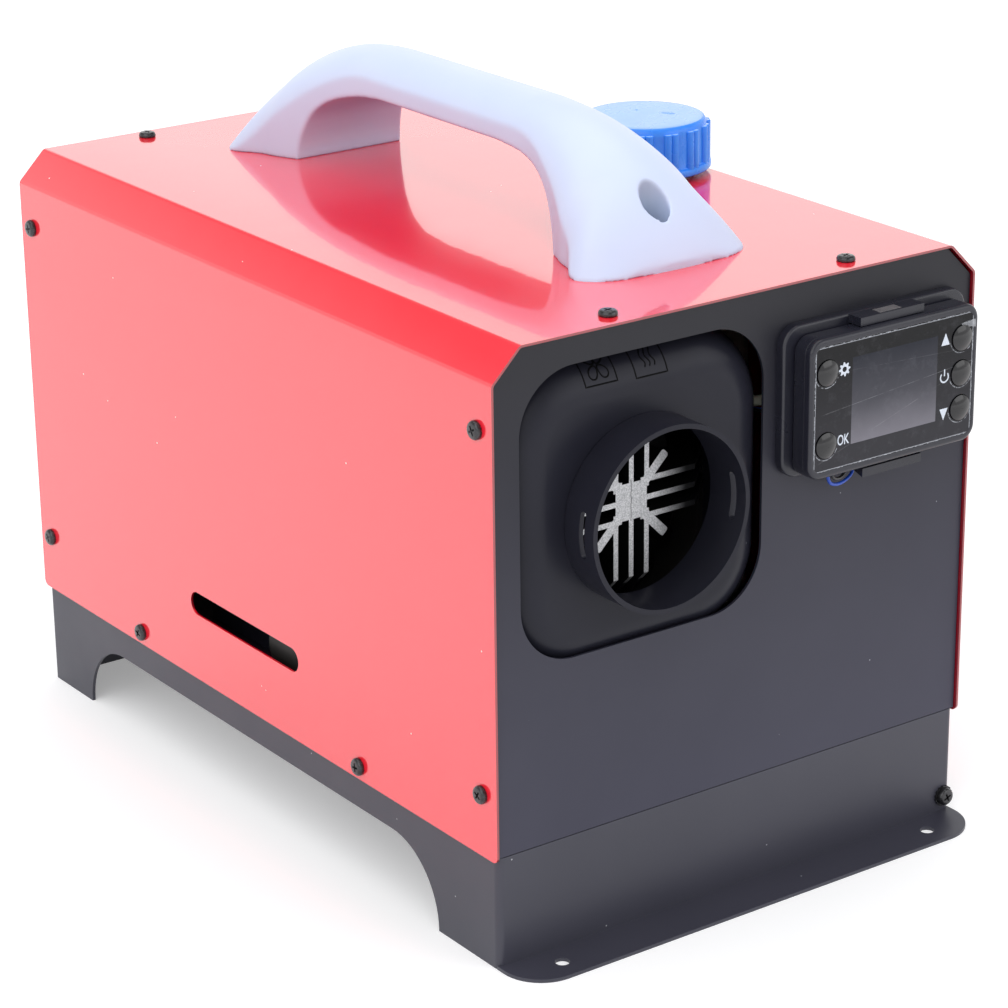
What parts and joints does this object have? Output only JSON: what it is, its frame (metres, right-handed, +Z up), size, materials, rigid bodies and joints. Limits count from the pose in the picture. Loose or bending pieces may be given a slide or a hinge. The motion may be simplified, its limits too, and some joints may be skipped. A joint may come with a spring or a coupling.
{
  "type": "portable diesel air heater",
  "caption": "Portable forced-air diesel heater in a sheet-steel case with carrying handle, duct outlet collar, wall-style remote controller and base with fixing flange.",
  "frame": {"origin": "on the ground plane under the middle of the outline", "axes": "+X to the right along the outlet face as seen from in front, +Y from the outlet face to the rear, +Z up; the outlet faces -Y"},
  "size_m": [0.2426, 0.391, 0.305],
  "materials": {
    "red_paint": "glossy powder coat",
    "black_steel": "satin powder coat",
    "black_screw": "black oxide, semi gloss",
    "zinc_steel": "zinc plated",
    "handle_plastic": "satin",
    "tank_plastic": "translucent white, waxy",
    "cap_plastic": "satin gloss",
    "black_plastic": "fine texture, semi matte",
    "casing_plastic": "semi matte",
    "rubber": "matt",
    "cast_aluminium": "as cast",
    "burner_steel": "heat tinted",
    "stainless": "plain",
    "brass": "plain",
    "gasket": "fibre",
    "board_green": "solder resist",
    "glass_black": "printed window, glossy",
    "lcd": "display, off",
    "button_rubber": "satin",
    "magnet": "ferrite",
    "fuel_rubber": "satin",
    "filter_plastic": "translucent",
    "line_plastic": "nylon",
    "blue_insulation": "satin gloss",
    "black_insulation": "satin gloss"
  },
  "bodies": {
    "case": {"outer_shell": "red_paint", "front_panel": "black_steel", "rear_panel": "black_steel", "base_tray": "black_steel", "shell_screws": "black_screw", "ground_screw": "zinc_steel", "carry_handle": "handle_plastic", "handle_screws": "zinc_steel", "fuel_tank": "tank_plastic", "tank_pads": "rubber", "fuel_filter": "filter_plastic", "tank_hose": "fuel_rubber", "pump_hose": "fuel_rubber", "hose_clips": "zinc_steel", "fuel_pump": "stainless", "pump_spring": "stainless", "pump_mount": "rubber", "fuel_line": "line_plastic", "outlet_hood": "black_plastic", "outlet_collar": "black_plastic", "lower_casing": "casing_plastic", "upper_casing": "casing_plastic", "inlet_hood": "black_plastic", "intake_grille": "black_plastic", "heat_exchanger": "cast_aluminium", "burner_tube": "burner_steel", "glow_plug": "stainless", "overheat_sensor": "stainless", "blower_housing": "cast_aluminium", "fan_motor": "stainless", "motor_magnets": "magnet", "control_board": "board_green", "mounting_gasket": "gasket", "heater_stand": "black_steel", "mounting_studs": "zinc_steel", "exhaust_stub": "stainless", "intake_silencer": "casing_plastic", "intake_hose": "rubber", "controller_bracket": "black_plastic", "controller_case": "black_plastic", "controller_bezel": "black_plastic", "controller_window": "glass_black", "lcd_screen": "lcd", "controller_board": "board_green", "cable_grommet": "rubber", "blue_wire": "blue_insulation", "black_wire": "black_insulation", "power_gland": "black_plastic"},
    "rotor": {"motor_shaft": "stainless", "hot_air_fan": "black_plastic", "combustion_fan": "black_plastic", "motor_armature": "burner_steel"},
    "cap_lift": {"cap_seal": "rubber"},
    "cap": {"fuel_cap": "cap_plastic"},
    "plunger": {"pump_plunger": "brass"},
    "menu_button": {"menu_button": "button_rubber"},
    "ok_button": {"ok_button": "button_rubber"},
    "up_button": {"up_button": "button_rubber"},
    "power_button": {"power_button": "button_rubber"},
    "down_button": {"down_button": "button_rubber"}
  },
  "joints": [
    {"name": "rotor_spin", "type": "hinge", "parent": "case", "child": "rotor", "pos_m": [-0.0475, 0.09, 0.1758], "axis": [0, 1, 0], "continuous": true},
    {"name": "cap_rise", "type": "slide", "parent": "case", "child": "cap_lift", "axis": [0, 0, 1], "range_m": [0, 0.018]},
    {"name": "cap_turn", "type": "hinge", "parent": "cap_lift", "child": "cap", "pos_m": [0.081, -0.009, 0.26], "axis": [0, 0, 1], "range_deg": [0, 1080.6]},
    {"name": "pump_stroke", "type": "slide", "parent": "case", "child": "plunger", "axis": [0, 0, 1], "range_m": [0, 0.003], "stiffness_N_per_m": 300, "deforming": ["pump_spring"]},
    {"name": "menu_press", "type": "slide", "parent": "case", "child": "menu_button", "axis": [0, 1, 0], "range_m": [0, 0.0008], "stiffness_N_per_m": 1500},
    {"name": "ok_press", "type": "slide", "parent": "case", "child": "ok_button", "axis": [0, 1, 0], "range_m": [0, 0.0008], "stiffness_N_per_m": 1500},
    {"name": "up_press", "type": "slide", "parent": "case", "child": "up_button", "axis": [0, 1, 0], "range_m": [0, 0.0008], "stiffness_N_per_m": 1500},
    {"name": "power_press", "type": "slide", "parent": "case", "child": "power_button", "axis": [0, 1, 0], "range_m": [0, 0.0008], "stiffness_N_per_m": 1500},
    {"name": "down_press", "type": "slide", "parent": "case", "child": "down_button", "axis": [0, 1, 0], "range_m": [0, 0.0008], "stiffness_N_per_m": 1500}
  ],
  "couplings": [
    {"joint": "cap_turn", "follows": "cap_rise", "rad_per_m": 1047.2}
  ]
}
